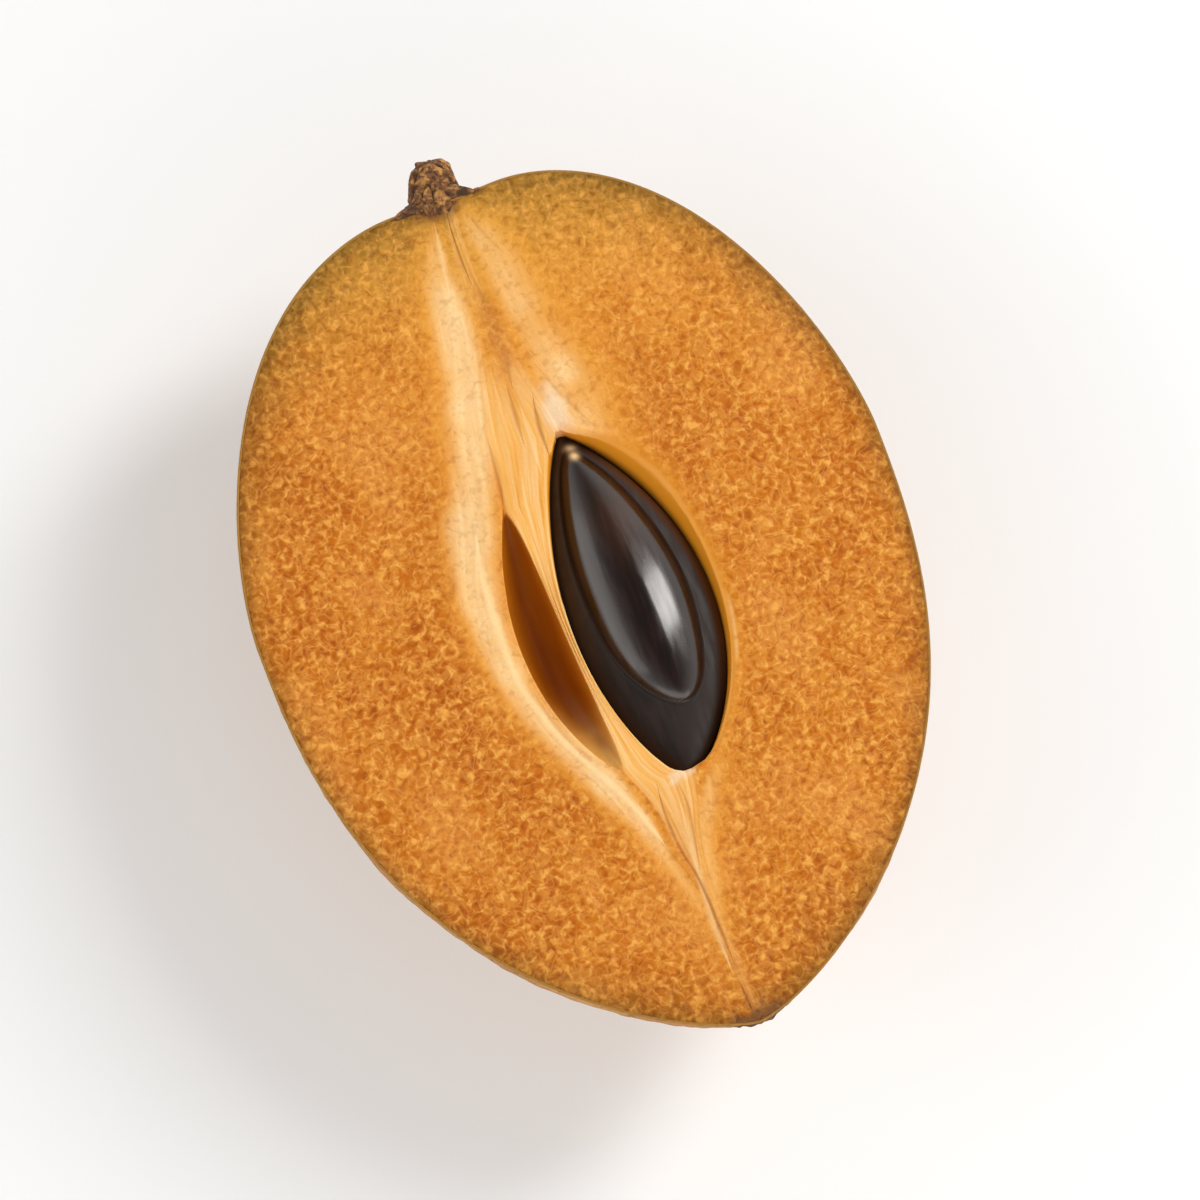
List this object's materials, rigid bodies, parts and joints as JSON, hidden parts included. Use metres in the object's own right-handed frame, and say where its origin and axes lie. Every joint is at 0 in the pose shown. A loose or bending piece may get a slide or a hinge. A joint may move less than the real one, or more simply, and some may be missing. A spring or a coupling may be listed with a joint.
{
  "type": "halved sapodilla fruit",
  "caption": "Half of a ripe oval sapodilla fruit, cut lengthwise, lying cut face up: brown skin, orange flesh, a glossy dark seed in its pit, an empty seed chamber and a dry stalk stub.",
  "frame": {"origin": "the deepest point of the belly, on the small flat spot that the half rests on", "axes": "+Y along the core towards the stalk, +Z square to the cut face and upwards, +X to the seed's side"},
  "size_m": [0.0532, 0.0764, 0.0263],
  "materials": {
    "skin": null,
    "flesh": null,
    "seed": null,
    "stub": "rough dry brown stalk and sepals"
  },
  "bodies": {
    "root": {"skin": "skin", "flesh": "flesh", "seed": "seed", "stem_stub": "stub"}
  },
  "joints": []
}
